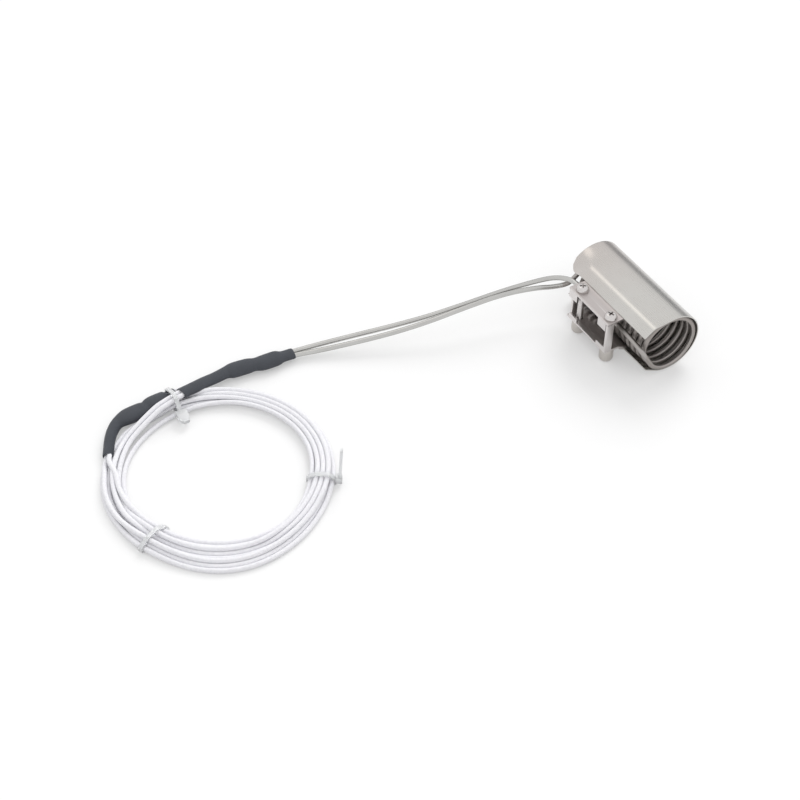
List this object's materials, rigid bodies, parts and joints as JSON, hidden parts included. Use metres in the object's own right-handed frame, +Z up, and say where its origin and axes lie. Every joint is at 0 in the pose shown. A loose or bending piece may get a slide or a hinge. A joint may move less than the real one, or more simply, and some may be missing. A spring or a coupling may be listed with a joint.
{
  "type": "hot runner coil heater",
  "caption": "Tube heater wound in a sheet sleeve with a two-screw clamp, its cold leads spliced to a coil of tied wires.",
  "frame": {"origin": "on the nozzle bore's axis, in the plane of the sleeve's mouth", "axes": "+X along the bore out of the mouth, -Y towards the clamp's screws, +Z up"},
  "size_m": [0.1013, 0.2534, 0.0286],
  "materials": {
    "coil_sheath": "satin",
    "lead_sheath": "satin",
    "sleeve_sheet": "satin",
    "jaw_plate": "satin",
    "screw_metal": "polished",
    "nut_metal": "satin",
    "crimp_metal": "satin",
    "shrink_tube": "matte",
    "wire_braid": "matte",
    "tie_plastic": "satin"
  },
  "bodies": {
    "root": {"heating_coil": "coil_sheath", "clamp_sleeve": "sleeve_sheet", "upper_jaw": "jaw_plate", "lower_jaw": "jaw_plate", "clamp_screw_1": "screw_metal", "clamp_screw_2": "screw_metal", "clamp_nut_1": "nut_metal", "clamp_nut_2": "nut_metal", "cold_lead_1": "lead_sheath", "cold_lead_2": "lead_sheath", "cable_tie_1": "tie_plastic", "cable_tie_2": "tie_plastic", "cable_tie_3": "tie_plastic", "crimp_1": "crimp_metal", "crimp_2": "crimp_metal", "crimp_3": "crimp_metal", "crimp_4": "crimp_metal", "shrink_sleeve_1": "shrink_tube", "shrink_sleeve_2": "shrink_tube", "wire_1_end": "wire_braid", "wire_1_start": "wire_braid", "wire_2_end": "wire_braid", "wire_2_start": "wire_braid", "wire_3_start": "wire_braid", "wire_4_start": "wire_braid", "wound_wires": "wire_braid"}
  },
  "joints": []
}
